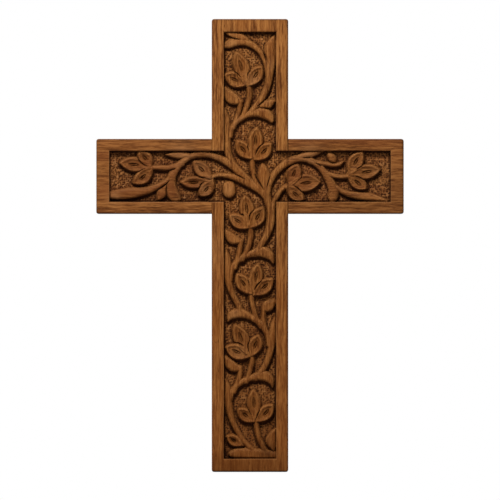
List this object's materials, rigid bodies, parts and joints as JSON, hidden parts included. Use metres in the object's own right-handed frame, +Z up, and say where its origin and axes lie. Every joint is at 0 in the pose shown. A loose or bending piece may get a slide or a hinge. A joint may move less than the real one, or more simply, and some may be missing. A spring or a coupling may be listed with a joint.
{
  "type": "carved wall cross",
  "caption": "Wooden Latin wall cross with a vine of leaves and flowers carved in a sunk panel, and a ring hanger on the back.",
  "frame": {"origin": "on the flat back, at the centre of the crossing", "axes": "+Y out of the back towards the wall, -Y out of the carved front, +Z up, +X to the right of someone facing the front"},
  "size_m": [0.207, 0.023, 0.305],
  "materials": {
    "upright_wood": "satin oiled, grain runs up and down",
    "crossbar_wood": "satin oiled, grain runs left and right",
    "peg_wood": "bare end grain, sanded flush",
    "zinc_steel": "zinc plated",
    "bumper_rubber": "matte"
  },
  "bodies": {
    "cross": {"upright": "upright_wood", "crossbar": "crossbar_wood", "lap_peg_1": "peg_wood", "lap_peg_2": "peg_wood", "hanger_strap": "zinc_steel", "hanger_screw_1": "zinc_steel", "hanger_screw_2": "zinc_steel", "bumper_left": "bumper_rubber", "bumper_right": "bumper_rubber"},
    "ring": {"hanger_ring": "zinc_steel"}
  },
  "joints": [
    {"name": "ring_swing", "type": "hinge", "parent": "cross", "child": "ring", "pos_m": [0, 0.002, 0.085], "axis": [-1, 0, 0], "range_deg": [0, 165]}
  ]
}
